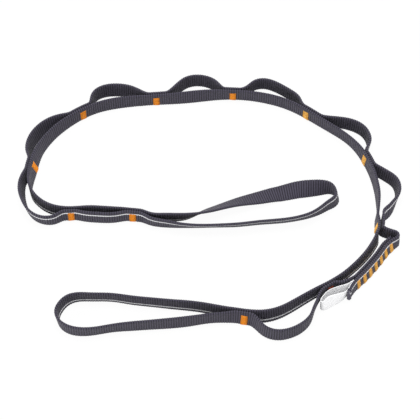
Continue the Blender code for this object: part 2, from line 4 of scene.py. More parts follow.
import bmesh
import bpy
import numpy as np
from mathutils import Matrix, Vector


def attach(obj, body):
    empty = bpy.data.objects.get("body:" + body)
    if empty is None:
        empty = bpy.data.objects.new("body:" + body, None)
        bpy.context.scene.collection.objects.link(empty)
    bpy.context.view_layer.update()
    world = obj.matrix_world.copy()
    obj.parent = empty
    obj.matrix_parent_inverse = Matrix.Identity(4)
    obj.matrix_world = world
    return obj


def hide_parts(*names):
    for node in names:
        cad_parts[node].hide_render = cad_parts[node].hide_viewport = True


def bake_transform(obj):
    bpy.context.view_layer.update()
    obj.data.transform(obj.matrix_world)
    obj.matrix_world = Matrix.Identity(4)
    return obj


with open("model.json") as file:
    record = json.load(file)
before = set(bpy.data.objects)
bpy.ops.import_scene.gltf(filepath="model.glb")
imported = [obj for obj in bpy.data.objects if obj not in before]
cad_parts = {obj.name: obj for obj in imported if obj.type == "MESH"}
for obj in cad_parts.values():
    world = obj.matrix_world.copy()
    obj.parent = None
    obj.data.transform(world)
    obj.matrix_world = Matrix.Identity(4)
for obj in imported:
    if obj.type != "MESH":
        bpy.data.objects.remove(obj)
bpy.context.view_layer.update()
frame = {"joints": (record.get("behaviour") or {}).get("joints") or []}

# Webbing
WEBBING_WIDTH = 0.018
WEBBING_THICKNESS = 0.0026
CLEARANCE = 0.0003
WEBBING_EDGE_DEPTH = 0.0010
RIB_PITCH = 0.0024
RIB_DEPTH = 0.00026
RIB_UNEVENNESS = 0.12
EDGE_RIB_SHARE = 1.4

# Lay of the chain on the table: the distances between tacks, and the main strand's heading and lean in
# degrees, at each tack, half way to the next one, and a lead past both end tacks
POCKET_PITCH = 0.080
PITCH_SHARES = (0.79, 1.02, 1.00, 0.99, 0.99, 1.00, 1.00, 1.02, 1.11, 1.13)
LEAD_SHARE = 0.20
HEADINGS = (
    168, 175, 176, 184, 121, 76, 52, 32, 10, 4, 7, -2,
    -16, -35, -38, -64, -84, -97, -132, -147, -149, -190, -190,
)
LEANS = (0, 0, 3, -2, 2, 13, 13, 3, 5, 2, 9, -1, 1, 2, 1, 7, 6, 6, 0, -3, -10, -15, -10)

# Small corrections of that lay, which only the webbing and its stitches follow: tacks counted along,
# then how far the main strand alone and both strands go out, and the degrees that are added to the lean
NUDGES = (
    (-1, 0, 0, -3), (0, 0, 0, -3), (0.2, -0.0006, 0, -3), (0.6, -0.0008, 0, -3),
    (1.0, -0.0006, 0, -2), (1.1, -0.0013, 0, -2), (1.25, -0.0018, 0, -2), (1.4, -0.0012, 0, -2),
    (1.55, 0.0003, 0, -3), (1.7, 0.0003, 0, 0), (1.82, -0.0002, -0.0006, 5), (1.92, 0, -0.0013, 8),
    (2.0, 0, -0.0012, 7), (2.1, 0, -0.0005, 4), (2.25, 0, 0.0004, -1), (2.45, 0.0002, 0.0004, -3),
    (2.9, 0, 0, 0), (3.3, 0, 0, -1), (4.5, 0, 0, -2), (6.0, 0, 0, -2), (6.4, 0, 0, -3), (6.7, 0, 0, -5),
    (7.0, 0, 0, -1), (7.3, 0, 0, 0), (7.6, 0, 0, 0), (7.8, -0.0012, 0, -6), (7.88, -0.0023, 0, -2),
    (7.95, -0.0017, 0, 3), (8.02, -0.0009, 0, 4), (8.08, -0.0005, 0, 0), (8.16, 0.0003, 0, -12),
    (8.27, -0.0004, 0, -12), (8.4, -0.0009, 0, -8), (8.6, -0.0007, 0, -3), (8.8, 0, 0, 0),
    (9.0, 0, 0, 0), (9.15, -0.0005, 0, 0), (9.45, -0.0010, 0, 0), (9.8, -0.0006, 0, 0), (10, 0, 0, 0),
)

# Pockets: where the outer strand leaves the main one, where it comes back, and the points between
# (along, out, lean), as shares of the distance between tacks and of the pocket depth
POCKET_DEPTH = 0.020
POCKET_SHARES = {
    0: (0.06, 0.95, ((0.25, 0.27, -2), (0.55, 0.35, -3), (0.80, 0.26, -3))),
    1: (0.05, 0.91, (
        (0.15, 0.40, 0), (0.33, 0.70, 8), (0.51, 0.60, 13), (0.70, 0.44, 15), (0.82, 0.25, 13),
    )),
    2: (0.04, 0.88, (
        (0.12, 0.35, 14), (0.23, 0.58, 16), (0.40, 0.68, 18), (0.62, 0.54, 16), (0.77, 0.29, 9),
    )),
    3: (0.12, 0.92, (
        (0.19, 0.42, 4), (0.26, 0.74, 6), (0.37, 0.87, 10), (0.51, 0.82, 12), (0.69, 0.59, 9),
        (0.82, 0.28, 4),
    )),
    4: (0.12, 0.91, (
        (0.21, 0.31, 5), (0.31, 0.65, 6), (0.42, 0.92, 6), (0.54, 0.99, 5), (0.68, 0.85, 5),
        (0.80, 0.49, 3),
    )),
    5: (0.08, 0.95, (
        (0.17, 0.30, -1), (0.25, 0.67, 0), (0.35, 0.87, 1), (0.52, 0.81, 2), (0.68, 0.63, 2),
        (0.83, 0.41, 2),
    )),
    6: (0.18, 0.96, (
        (0.30, 0.29, 3), (0.44, 0.59, 6), (0.58, 0.84, 8), (0.70, 0.92, 7), (0.80, 0.81, 6),
        (0.89, 0.48, 6),
    )),
    7: (0.14, 0.92, (
        (0.23, 0.33, 8), (0.32, 0.67, 9), (0.41, 0.97, 10), (0.51, 1.05, 11), (0.61, 0.94, 8),
        (0.69, 0.74, -2), (0.77, 0.51, -10), (0.84, 0.25, -9),
    )),
    9: (0.05, 0.95, (
        (0.145, 0.24, 0), (0.21, 0.42, 4), (0.29, 0.66, 3), (0.39, 0.99, 0), (0.51, 1.16, -4),
        (0.62, 1.17, -5), (0.73, 1.03, -6), (0.80, 0.78, -7), (0.86, 0.43, -10),
    )),
}
LAST_POCKET = 9

# Splice: the strap's two ends, overlapped and sewn in the ninth pocket; its points are shares as the
# pockets' are. The inner layer leans by the twist more than the outer one, and the outer one's free end
# is melted into a bead.
SPLICE = 8
SPLICE_LEAVES_SHARE = 0.040
SPLICE_OUTER_SHARES = (
    (0.062, 0.26, 6), (0.074, 0.48, 3), (0.079, 0.76, 0), (0.091, 0.97, -2), (0.121, 1.045, -4),
    (0.162, 0.91, -8), (0.21, 0.745, -12), (0.267, 0.65, -12), (0.353, 0.605, -11), (0.44, 0.595, -11),
    (0.535, 0.61, -11), (0.62, 0.645, -11), (0.726, 0.69, -9), (0.793, 0.77, -6), (0.84, 0.86, -4),
    (0.888, 0.97, -1),
)
SPLICE_REJOIN_SHARES = ((0.782, 0.46, -3), (0.833, 0.42, -3), (0.895, 0.29, -2))
SPLICE_REJOINS_SHARE = 0.955
SPLICE_FIRST_TACK_SHARES = (0.203, 0.77)
SPLICE_TACKS = 7
SPLICE_TACK_PITCH = 0.0088
SPLICE_TACK_LENGTH = 0.0046
SPLICE_GAP = 0.0004
SPLICE_INNER_TWIST = -1.5
SPLICE_END_MARGIN = 0.0012
BEAD_LENGTH = 0.0040
BEAD_GROWTH = 0.75
BEAD_ROUNDING = 0.8

# End loops: points (away from the last tack, out, lean), as shares of the loop's length
LONG_LOOP_LENGTH = 0.200
LONG_LOOP_START_ROLL = 180
LOOP_MARGIN = 0.0025
LONG_LOOP_SHARES = (
    (0.085, 0.011, 178), (0.16, 0.008, 174), (0.26, -0.005, 168), (0.36, -0.048, 143), (0.43, -0.0815, 135),
    (0.52, -0.123, 123), (0.62, -0.162, 106), (0.72, -0.201, 89), (0.757, -0.211, 81), (0.795, -0.221, 72),
    (0.87, -0.230, 47), (0.93, -0.2355, 26), (0.968, -0.232, 8), (0.994, -0.213, -6), (1.004, -0.186, -10),
    (0.994, -0.160, -8), (0.967, -0.136, -3), (0.93, -0.104, 4), (0.89, -0.076, 12), (0.83, -0.049, 18),
    (0.73, -0.022, 20), (0.63, -0.004, 21), (0.53, 0.017, 22), (0.435, 0.030, 24), (0.335, 0.041, 24),
    (0.235, 0.046, 17), (0.16, 0.0435, 8), (0.085, 0.033, 3),
)
SHORT_LOOP_LENGTH = 0.180
SHORT_LOOP_SHARES = (
    (0.09, 0.027, -7), (0.15, 0.041, -3), (0.20, 0.056, -2), (0.28, 0.084, -4), (0.38, 0.115, -4),
    (0.485, 0.143, -1), (0.59, 0.171, 1), (0.69, 0.201, 5), (0.77, 0.231, 5), (0.847, 0.249, 3),
    (0.918, 0.244, 2), (0.968, 0.214, 5), (0.990, 0.169, 8), (0.982, 0.121, 8), (0.951, 0.073, 4),
    (0.90, 0.046, -1), (0.84, 0.035, -3), (0.72, 0.017, -4), (0.62, 0.015, -2), (0.51, 0.009, -1),
    (0.40, 0.002, 1), (0.29, -0.006, 3), (0.21, -0.007, 4), (0.095, -0.001, 10),
)

# Label: a folded loop of satin tape
LABEL_WIDTH = 0.017
LABEL_THICKNESS = 0.0005
LABEL_EDGE_DEPTH = 0.00015
LABEL_STEP = 0.0006
LABEL_SHARES = (
    (-0.262, 0.632, -1), (-0.21, 0.68, 0), (-0.16, 0.765, 2), (-0.105, 0.83, 4), (-0.04, 0.83, -2),
    (0.04, 0.78, -10), (0.125, 0.74, -13), (0.18, 0.76, -7), (0.21, 0.74, -1), (0.222, 0.675, 2),
    (0.21, 0.575, 1), (0.165, 0.46, -2), (0.08, 0.35, -3), (-0.015, 0.375, -3), (-0.11, 0.48, -3),
    (-0.205, 0.58, -2), (-0.262, 0.593, -1),
)

# Tacks: zigzag rows of thread on both faces. A stitch dives into the webbing at both its ends and
# stands proud between them, and each tack's stitches slide along the strap from the solids' tack.
TACK_LENGTH = 0.0068
TACK_HEIGHT = 0.0124
TACK_EDGE_MARGIN = 0.0009
THREAD_RADIUS = 0.00030
THREAD_PITCH = 0.00056
THREAD_PROUD = 0.00012
THREAD_DIVE = 0.0007
THREAD_WANDER = 0.00022
THREAD_PROFILE = ((0, -THREAD_DIVE), (0.06, 0), (0.3, THREAD_PROUD), (0.7, THREAD_PROUD), (0.94, 0))
TACK_SLIDES = (0, -0.0015, -0.0010, 0.0012, 0, 0, 0, 0.0012, 0.0010, 0, 0)

# Hinges, as the solids have them: the side of each tack that its hinge is on, -1 towards the long loop
HINGE_SIDES = (-1, -1, -1, -1, -1, 1, 1, 1, -1, 1, 1)
HINGE_RADIUS = 0.006
HINGE_OFFSET = TACK_LENGTH / 2 + HINGE_RADIUS + 2 * CLEARANCE

# Weave, in millimetres: the fine picks within a rib and the warp yarns, how much of a pick's height the
# yarns take away, the swings of tone by yarn and pick, and the painted shade by rib and height, darker
# in the grooves and hollows and lighter on the crests. Streaks hold a noise's scales along and across the
# strap, as the label's streaks and creases do.
MILLIMETRES = 1000
PICK_PITCH = 0.8
WARP_PITCH = 0.62
WARP_RELIEF = 0.6
YARN_STREAKS = 0.12, 2.6
PICK_STREAKS = 0.9, 0.05
YARN_TONE = 0.16
PICK_TONE = 0.16
RIB_SHADE_TONES = -0.66, 0.36
HEIGHT_SHADE_TONE = 0.12

# Webbing's finish; the tracer yarn's place and width are in millimetres round from the edge
WEBBING_COLOUR = 0.0513, 0.0462, 0.0682
WEBBING_ROUGHNESSES = 0.86, 0.60
WEBBING_SHEEN = 0.12
WEBBING_SHEEN_ROUGHNESS = 0.45
WEBBING_SHINE = 0.25
WEAVE_BUMP = 0.00016
TRACER_COLOUR = 0.90, 0.90, 0.92
TRACER_FROM_EDGE = 5.6
TRACER_WIDTH = 1.50
TRACER_SOFTNESS = 0.12
TRACER_DIP = 0.25

# Thread's finish: painted highlight, paler where the light grazes it; painted shade, dark in the fold behind
# the label.
THREAD_COLOURS = {
    "orange_thread": (0.83, 0.275, 0.014),
    "sheen_painted_thread": (0.80, 0.42, 0.080),
    "shaded_thread": (0.33, 0.05, 0.017),
}
SHEEN_PAINTED_TACKS = (6, 7, 8)
SHADED_TACK = 9
THREAD_ROUGHNESS = 0.5
THREAD_SHINE = 0.2
FIBRE_SCALE = 3200
FIBRE_DETAIL = 3.0
FIBRE_ROUGHNESS = 0.6
FIBRE_TONES = 0.72, 1.12
FIBRE_BUMP = 0.00008
PATCH_SCALE = 420
PATCH_TONE = 0.16

# Label's finish; the pitches are in millimetres
LABEL_COLOUR = 0.92, 0.92, 0.93
LABEL_ROUGHNESS = 0.42
LABEL_SHEEN = 0.1
LABEL_WARP_PITCH = 0.32
LABEL_WEFT_PITCH = 0.40
LABEL_WARP_SHARE = 0.7
LABEL_STREAKS = 0.25, 3.0
LABEL_STREAK_TONES = 0.985, 1.01
LABEL_CREASES = 0.45, 0.10
# Painted shade along the creases: darker in their hollows, lighter on their ridges
LABEL_CREASE_SHADE = 0.02
LABEL_CREASE_HEIGHT = 2.0
LABEL_BUMP = 0.000006

# Fineness: rows for each rib, faces round a section's edge and over its face, steps between two points
# of a curve, and steps of the main line for each pocket
STEPS_PER_RIB = 4
EDGE_FACES = 6
FACE_FACES = 6
CURVE_STEPS = 48
POCKET_STEPS = 192
SEWN_STEP = 0.0003
WELD = 1e-6

# Camera: the photograph's, over the point of the ground at the middle of its frame
CAMERA_DISTANCE = 1.9
CAMERA_DIP = 59
IMAGE_SIZE = 420
FOCAL_PIXELS = 1900
SENSOR_WIDTH = 36
GROUND_POINT_FROM_FIRST_TACK = (0.07648, 0.00931)

# Floor, which the camera sees as nearly white
FLOOR_HALF = 6
FLOOR_DROP = 0.0002
FLOOR_COLOUR = 0.86, 0.86, 0.86
FLOOR_ROUGHNESS = 0.9
FLOOR_WHITE = 0.95

# Softboxes: bearing from the front towards the right and height angle in degrees, and power in watts
SOFTBOX_DISTANCE = 3.0
SOFTBOX_SIZE = 1.4
SOFTBOXES = {
    "top_softbox": (180, 80, 63),
    "left_softbox": (-65, 14, 25),
}
FILL = 0.81

LAYER_PITCH = WEBBING_THICKNESS + CLEARANCE
PITCHES = POCKET_PITCH * np.array(PITCH_SHARES)
TACK_AT = np.concatenate([[0], np.cumsum(PITCHES)])
LAST_TACK = len(PITCHES)
LEAD = POCKET_PITCH * LEAD_SHARE
CHANCE = np.random.default_rng(11)


# The lay's curves

def slopes_of(knots, values, first, last):
    """Slopes of the smoothest curve through the values; first and last are its end slopes."""
    step = np.diff(knots)
    rise = np.diff(values, axis=0) / step[:, None]
    matrix = np.eye(len(knots))
    right = np.zeros_like(values)
    right[0] = rise[0] if first is None else first
    right[-1] = rise[-1] if last is None else last
    for i in range(1, len(knots) - 1):
        matrix[i, i - 1: i + 2] = step[i], 2 * (step[i - 1] + step[i]), step[i - 1]
        right[i] = 3 * (step[i] * rise[i - 1] + step[i - 1] * rise[i])
    return np.linalg.solve(matrix, right)


def eased(share, step, ends, slopes):
    """Values between two ends, which they leave and reach with the given slopes."""
    return (
        ends[0] * (2 * share**3 - 3 * share**2 + 1)
        + ends[1] * (3 * share**2 - 2 * share**3)
        + step * slopes[0] * (share**3 - 2 * share**2 + share)
        + step * slopes[1] * (share**3 - share**2)
    )


def curve_through(points, first=None, last=None):
    """Dense rows (x, y, lean) along the curve through such rows; first and last are its end directions."""
    points = np.array(points, float)
    knots = np.concatenate([[0], np.cumsum(np.hypot(*np.diff(points[:, :2], axis=0).T))])
    ends = [None if end is None else np.array([*end, 0]) for end in (first, last)]
    slopes = slopes_of(knots, points, *ends)
    share = np.linspace(0, 1, CURVE_STEPS, endpoint=False)[:, None]
    rows = [
        eased(share, knots[i + 1] - knots[i], points[i: i + 2], slopes[i: i + 2])
        for i in range(len(knots) - 1)
    ]
    return np.concatenate(rows + [points[-1:]])


def through_knots(knots, values, at):
    """A smooth curve through one value at each knot."""
    slopes = np.gradient(values, knots)
    i = np.clip(np.searchsorted(knots, at, side="right") - 1, 0, len(knots) - 2)
    step = knots[i + 1] - knots[i]
    share = (at - knots[i]) / step
    return eased(share, step, (values[i], values[i + 1]), (slopes[i], slopes[i + 1]))


def main_line():
    """Rows (distance, heading, x, y, lean) of the main strand; distance is counted from the first tack."""
    halves = np.repeat(PITCHES / 2, 2)
    knots = np.concatenate([[-LEAD, 0], np.cumsum(halves), [TACK_AT[-1] + LEAD]])
    distance = np.linspace(knots[0], knots[-1], POCKET_STEPS * len(PITCHES) + 1)
    heading = np.radians(through_knots(knots, np.array(HEADINGS, float), distance))
    lean = through_knots(knots, np.array(LEANS, float), distance)
    between = (heading[1:] + heading[:-1]) / 2
    steps = np.diff(distance)
    x = np.concatenate([[0], np.cumsum(np.cos(between) * steps)])
    y = np.concatenate([[0], np.cumsum(np.sin(between) * steps)])
    return np.stack([distance, heading, x, y, lean], 1)


MAIN = main_line()


def frame_at(distance):
    """(position, along, out, lean) of the main strand; past its ends it runs on straight."""
    inside = min(max(distance, MAIN[0, 0]), MAIN[-1, 0])
    heading, x, y, lean = (np.interp(inside, MAIN[:, 0], MAIN[:, i]) for i in range(1, 5))
    along = np.array([math.cos(heading), math.sin(heading)])
    return np.array([x, y]) + along * (distance - inside), along, np.array([-along[1], along[0]]), lean


def nudge_at(distance):
    """The correction (main strand out, both strands out, lean) at a distance; none past the ends."""
    knots, *columns = np.array(NUDGES).T
    at = np.interp(distance, TACK_AT, np.arange(len(TACK_AT)))
    if not knots[0] < at < knots[-1]:
        return 0, 0, 0
    return [through_knots(knots, column, at) for column in columns]


def sewn_offset(lean):
    """Level distance between the centres of two layers that lie face to face."""
    return LAYER_PITCH / math.cos(math.radians(lean))


def row_at(distance, out=None, lean=None):
    """Row (x, y, lean) beside the main strand; out left out is the strand sewn to it. A row that is given
    its lean has its own place, so it takes no correction."""
    place, _, normal, own_lean = frame_at(distance)
    if lean is None:
        main_out, both_out, twist = nudge_at(distance)
        place, own_lean = place + normal * (both_out + (main_out if out == 0 else 0)), own_lean + twist
    out = sewn_offset(own_lean) if out is None else out
    return [*(place + normal * out), own_lean if lean is None else lean]


def seam_heading(distance):
    """Direction of the strand that is sewn to the main one."""
    way = np.subtract(row_at(distance + SEWN_STEP), row_at(distance - SEWN_STEP))[:2]
    return way / np.linalg.norm(way)


def sewn_rows(start, end, out=None):
    """Close rows beside the main strand from start to end."""
    count = max(2, round(abs(end - start) / SEWN_STEP))
    return np.array([row_at(at, out) for at in np.linspace(start, end, count)])


def joined(*runs):
    """One run of rows; where two meet, the doubled row is dropped."""
    return np.concatenate([runs[0]] + [run[1:] for run in runs[1:]])


def main_rows(span):
    return sewn_rows(TACK_AT[span], TACK_AT[span + 1], 0)


def pocket_rows(span):
    leaves, rejoins, shares = POCKET_SHARES[span]
    base, pitch = TACK_AT[span], PITCHES[span]
    leave, rejoin = base + leaves * pitch, base + rejoins * pitch
    points = [row_at(leave)]
    points += [row_at(base + a * pitch, d * POCKET_DEPTH, lean) for a, d, lean in shares]
    points.append(row_at(rejoin))
    free = curve_through(points, seam_heading(leave), seam_heading(rejoin))
    return joined(sewn_rows(base, leave), free, sewn_rows(rejoin, base + pitch))


def splice_outer_rows():
    base, pitch = TACK_AT[SPLICE], PITCHES[SPLICE]
    leave = base + SPLICE_LEAVES_SHARE * pitch
    points = [row_at(leave)]
    points += [row_at(base + a * pitch, d * POCKET_DEPTH, lean) for a, d, lean in SPLICE_OUTER_SHARES]
    return joined(sewn_rows(base, leave), curve_through(points, seam_heading(leave)))


def seam_frames(distances):
    """(position, along, out, lean) on the splice's outer layer, at distances from its first tack."""
    rows = splice_outer_rows()
    travelled = np.concatenate([[0], np.cumsum(np.hypot(*np.diff(rows[:, :2], axis=0).T))])
    along_share, out_share = SPLICE_FIRST_TACK_SHARES
    near_first = row_at(TACK_AT[SPLICE] + along_share * PITCHES[SPLICE], out_share * POCKET_DEPTH, 0)
    first = travelled[np.argmin(np.hypot(*(rows[:, :2] - near_first[:2]).T))]

    def place_at(distance):
        return np.array([np.interp(first + distance, travelled, rows[:, i]) for i in (0, 1)])

    frames = []
    for distance in distances:
        along = place_at(distance + SEWN_STEP) - place_at(distance - SEWN_STEP)
        along /= np.linalg.norm(along)
        lean = np.interp(first + distance, travelled, rows[:, 2])
        frames.append((place_at(distance), along, np.array([-along[1], along[0]]), lean))
    return frames


def splice_inner_rows():
    base, pitch = TACK_AT[SPLICE], PITCHES[SPLICE]
    start = -SPLICE_TACK_LENGTH / 2 - SPLICE_END_MARGIN
    seam = np.linspace(start, SPLICE_TACK_PITCH * (SPLICE_TACKS - 1), SPLICE_TACKS + 1)
    points = [
        [*(place - normal * (WEBBING_THICKNESS + SPLICE_GAP)), lean + SPLICE_INNER_TWIST]
        for place, _, normal, lean in seam_frames(seam)
    ]
    points += [row_at(base + a * pitch, d * POCKET_DEPTH, lean) for a, d, lean in SPLICE_REJOIN_SHARES]
    rejoin = base + SPLICE_REJOINS_SHARE * pitch
    points.append(row_at(rejoin))
    return joined(curve_through(points, None, frame_at(rejoin)[1]), sewn_rows(rejoin, base + pitch))


def loop_rows(tack, away, length, shares, roll):
    """Rows of an end loop from its tack round to the tack again; away is -1 before the first tack."""
    base = TACK_AT[tack]
    place, along, normal, _ = frame_at(base)
    points = [[*(place + along * away * a * length + normal * b * length), lean] for a, b, lean in shares]
    free = base + away * (TACK_LENGTH / 2 + LOOP_MARGIN)
    if away < 0:
        leaving, arriving = sewn_rows(base, free, 0), sewn_rows(free, base)
        against = leaving
    else:
        leaving, arriving = sewn_rows(base, free), sewn_rows(free, base, 0)
        against = arriving
    against[:, 2] = roll - against[:, 2]
    middle = curve_through([leaving[-1]] + points + [arriving[0]], along * away, -along * away)
    return joined(leaving, middle, arriving)


def label_rows():
    base = TACK_AT[SPLICE + 1]
    points = [row_at(base + a * POCKET_PITCH, d * POCKET_DEPTH, lean) for a, d, lean in LABEL_SHARES]
    return curve_through(points)


def hinge_at(tack):
    """(place, along) of the hinge beside a tack, half way through the solids' two layers."""
    place, along, normal, lean = frame_at(TACK_AT[tack] + HINGE_SIDES[tack] * HINGE_OFFSET)
    return place + normal * sewn_offset(lean) / 2, along


# The record's first hinge shows where the lay's own origin is in the frame
JOINTS = {joint["name"]: joint for joint in frame["joints"]}
SHIFT = np.array(JOINTS["hinge_long_loop"]["pos_m"][:2]) - hinge_at(0)[0]


# Ribbons: a strap's section, carried along its rows with raised ribs

def ring_of(width, thickness, edge_depth):
    """Section points (across, up), their outward normals and the distance round, from the top edge."""
    half, straight = thickness / 2, width / 2 - edge_depth
    points, normals = [], []

    def edge(start, end, centre, count):
        for angle in np.radians(np.linspace(start, end, count)):
            points.append((half * math.cos(angle), centre + edge_depth * math.sin(angle)))
            out = np.array([math.cos(angle) / half, math.sin(angle) / edge_depth])
            normals.append(out / np.linalg.norm(out))

    def face(side, start, end):
        for up in np.linspace(start, end, FACE_FACES + 1)[1:-1]:
            points.append((side * half, up))
            normals.append(np.array([side, 0.0]))

    quarter = EDGE_FACES // 2 + 1
    edge(90, 0, straight, quarter)
    face(1, straight, -straight)
    edge(0, -180, -straight, EDGE_FACES + 1)
    face(-1, -straight, straight)
    edge(180, 90, straight, quarter)
    points, normals = np.array(points), np.array(normals)
    round_it = np.concatenate([[0], np.cumsum(np.hypot(*np.diff(points, axis=0).T))])
    return points, normals, round_it


def evenly(rows, step, whole=1):
    """Rows spread evenly, about a step apart and in a whole number of ribs, with their distances."""
    keep = np.concatenate([[True], np.hypot(*np.diff(rows[:, :2], axis=0).T) > 0])
    rows = rows[keep]
    travelled = np.concatenate([[0], np.cumsum(np.hypot(*np.diff(rows[:, :2], axis=0).T))])
    count = whole * max(1, round(travelled[-1] / step / whole))
    at = np.linspace(0, travelled[-1], count + 1)
    return np.stack([np.interp(at, travelled, rows[:, i]) for i in range(3)], 1), step * np.arange(count + 1)


def rest_height(lean, width, thickness, edge_depth):
    """Height of a leaning strap's centre when its lower edge touches the ground."""
    lean = np.radians(lean)
    half = thickness / 2
    reach = np.hypot(half * np.sin(lean), edge_depth * np.cos(lean))
    return np.abs(np.cos(lean)) * (width / 2 - edge_depth) + reach


def ribbon(name, rows, step, size, rib_depth, flipped=(1, 1), growth=None):
    """A strap along the rows, on a grid that is wrapped round it. Its map holds millimetres: the
    distance along, and round the section from the edge that the tracer is nearer to. flipped turns the
    tracer's face and edge round. growth gives each row's thickness as a share of the plain one."""
    rows, along = evenly(rows, step, STEPS_PER_RIB if rib_depth else 1)
    ring, normals, round_it = ring_of(*size)
    bm = bmesh.new()
    bmesh.ops.create_grid(bm, x_segments=len(rows) - 1, y_segments=len(ring) - 1, size=0.5)
    mesh = bpy.data.meshes.new(name)
    bm.to_mesh(mesh)
    bm.free()
    flat = np.empty(len(mesh.vertices) * 3, np.float32)
    mesh.vertices.foreach_get("co", flat)
    flat = flat.reshape(-1, 3) + 0.5
    row = np.rint(flat[:, 0] * (len(rows) - 1)).astype(int)
    point = np.rint(flat[:, 1] * (len(ring) - 1)).astype(int)

    tangent = np.gradient(rows[:, :2], axis=0)
    tangent /= np.linalg.norm(tangent, axis=1)[:, None]
    lean = np.radians(rows[:, 2])
    left = np.stack([-tangent[:, 1], tangent[:, 0], 0 * lean], 1)
    upright = np.array([0, 0, 1.0])
    up = left * np.sin(lean)[:, None] + upright * np.cos(lean)[:, None]
    across = left * np.cos(lean)[:, None] - upright * np.sin(lean)[:, None]
    place = np.column_stack([rows[:, :2] + SHIFT, rest_height(rows[:, 2], *size)])

    phase = 2 * np.pi * along / (STEPS_PER_RIB * step)
    uneven = CHANCE.uniform(-RIB_UNEVENNESS, RIB_UNEVENNESS, len(rows))
    relief = rib_depth * (np.cos(phase) / 2 - 0.5 + uneven)
    relief[[0, -1]] = 0
    on_edge = np.where(np.abs(ring[:, 1]) > size[0] / 2 - size[2] / 2, EDGE_RIB_SHARE, 1)
    thick = np.ones(len(rows)) if growth is None else growth(along / along[-1], len(rows) * step)
    side, edge = flipped
    section = ring * [side, edge]
    outward = normals * [side, edge]
    swell = np.column_stack([thick[row], np.ones(len(row))])
    offset = section[point] * swell + outward[point] * (relief[row] * on_edge[point])[:, None]
    flat = place[row] + across[row] * offset[:, :1] + up[row] * offset[:, 1:]
    mesh.vertices.foreach_set("co", flat.astype(np.float32).ravel())

    corner = np.empty(len(mesh.loops), np.int32)
    mesh.loops.foreach_get("vertex_index", corner)
    layer = mesh.uv_layers.new(name="lay")
    lay = np.column_stack([along[row], round_it[point]])[corner] * MILLIMETRES
    layer.data.foreach_set("uv", lay.astype(np.float32).ravel())

    bm = bmesh.new()
    bm.from_mesh(mesh)
    bmesh.ops.remove_doubles(bm, verts=bm.verts, dist=WELD)
    rims = [edge for edge in bm.edges if edge.is_boundary]
    caps = bmesh.ops.holes_fill(bm, edges=rims, sides=len(ring))["faces"]
    for edge in rims:
        edge.smooth = False
    bmesh.ops.recalc_face_normals(bm, faces=bm.faces)
    for face in bm.faces:
        face.smooth = True
    for face in caps:
        face.smooth = False
    bm.to_mesh(mesh)
    bm.free()
    return linked(name, mesh)


def linked(name, data):
    made = bpy.data.objects.new(name, data)
    bpy.context.scene.collection.objects.link(made)
    return made


# Materials

def group(name, inputs, outputs):
    """A shader node group with the named numbers going in and out, and its end nodes."""
    made = bpy.data.node_groups.new(name, "ShaderNodeTree")
    for label in inputs:
        made.interface.new_socket(label, in_out="INPUT", socket_type="NodeSocketFloat")
    for label in outputs:
        made.interface.new_socket(label, in_out="OUTPUT", socket_type="NodeSocketFloat")
    return made, made.nodes.new("NodeGroupInput"), made.nodes.new("NodeGroupOutput")


def maths(tree, operation, *values):
    """A Math node; each value is a number or a socket."""
    node = tree.nodes.new("ShaderNodeMath")
    node.operation = operation
    for socket, value in zip(node.inputs, values):
        if isinstance(value, bpy.types.NodeSocket):
            tree.links.new(value, socket)
        else:
            socket.default_value = value
    return node.outputs[0]


def ridge(tree, distance, pitch):
    """A wave from 0 to 1 and back in each pitch."""
    turn = maths(tree, "MULTIPLY", distance, 2 * math.pi / pitch)
    return maths(tree, "MULTIPLY_ADD", maths(tree, "COSINE", turn), 0.5, 0.5)


def noise(tree, vector, scale, detail=2.0, roughness=0.5):
    node = tree.nodes.new("ShaderNodeTexNoise")
    node.inputs["Scale"].default_value = scale
    node.inputs["Detail"].default_value = detail
    node.inputs["Roughness"].default_value = roughness
    tree.links.new(vector, node.inputs["Vector"])
    return node.outputs["Fac"]


def stretched(tree, along, across, scale_along, scale_across):
    """A vector for a texture drawn out along one way of the strap."""
    node = tree.nodes.new("ShaderNodeCombineXYZ")
    tree.links.new(maths(tree, "MULTIPLY", along, scale_along), node.inputs[0])
    tree.links.new(maths(tree, "MULTIPLY", across, scale_across), node.inputs[1])
    return node.outputs[0]


def spread(tree, value, low, high):
    """The value moved from 0..1 to low..high, held inside."""
    node = tree.nodes.new("ShaderNodeMapRange")
    node.inputs["To Min"].default_value = low
    node.inputs["To Max"].default_value = high
    tree.links.new(value, node.inputs["Value"])
    return node.outputs["Result"]


def swing(tree, value, reach):
    """The value moved from 0..1 to as much below zero as above it."""
    return spread(tree, value, -reach, reach)


def weave_group():
    """Height and tone of a ribbed weave, from the distances along and round the strap in millimetres."""
    tree, start, end = group("webbing_weave", ("Along", "Across"), ("Height", "Tone"))
    along, across = start.outputs["Along"], start.outputs["Across"]
    pick = maths(tree, "FLOOR", maths(tree, "DIVIDE", along, PICK_PITCH))
    odd = maths(tree, "MODULO", maths(tree, "ABSOLUTE", pick), 2)
    shifted = maths(tree, "ADD", across, maths(tree, "MULTIPLY", odd, WARP_PITCH / 2))
    warp = maths(tree, "MULTIPLY_ADD", ridge(tree, shifted, WARP_PITCH), WARP_RELIEF, 1 - WARP_RELIEF)
    woven = maths(tree, "MULTIPLY", ridge(tree, along, PICK_PITCH), warp)
    tree.links.new(woven, end.inputs["Height"])

    yarns = noise(tree, stretched(tree, along, across, *YARN_STREAKS), 1.0)
    picked = noise(tree, stretched(tree, pick, across, *PICK_STREAKS), 1.0, 1.0)
    ribs = ridge(tree, along, RIB_PITCH * MILLIMETRES)
    tone = maths(tree, "ADD", swing(tree, yarns, YARN_TONE), swing(tree, picked, PICK_TONE))
    # Painted shade: the tone darkens in the rib grooves and the weave's hollows and lightens on their
    # crests.
    tone = maths(tree, "ADD", tone, spread(tree, ribs, *RIB_SHADE_TONES))
    tone = maths(tree, "ADD", tone, swing(tree, woven, HEIGHT_SHADE_TONE))
    tree.links.new(maths(tree, "ADD", tone, 1.0), end.inputs["Tone"])
    return tree


WEAVE = weave_group()


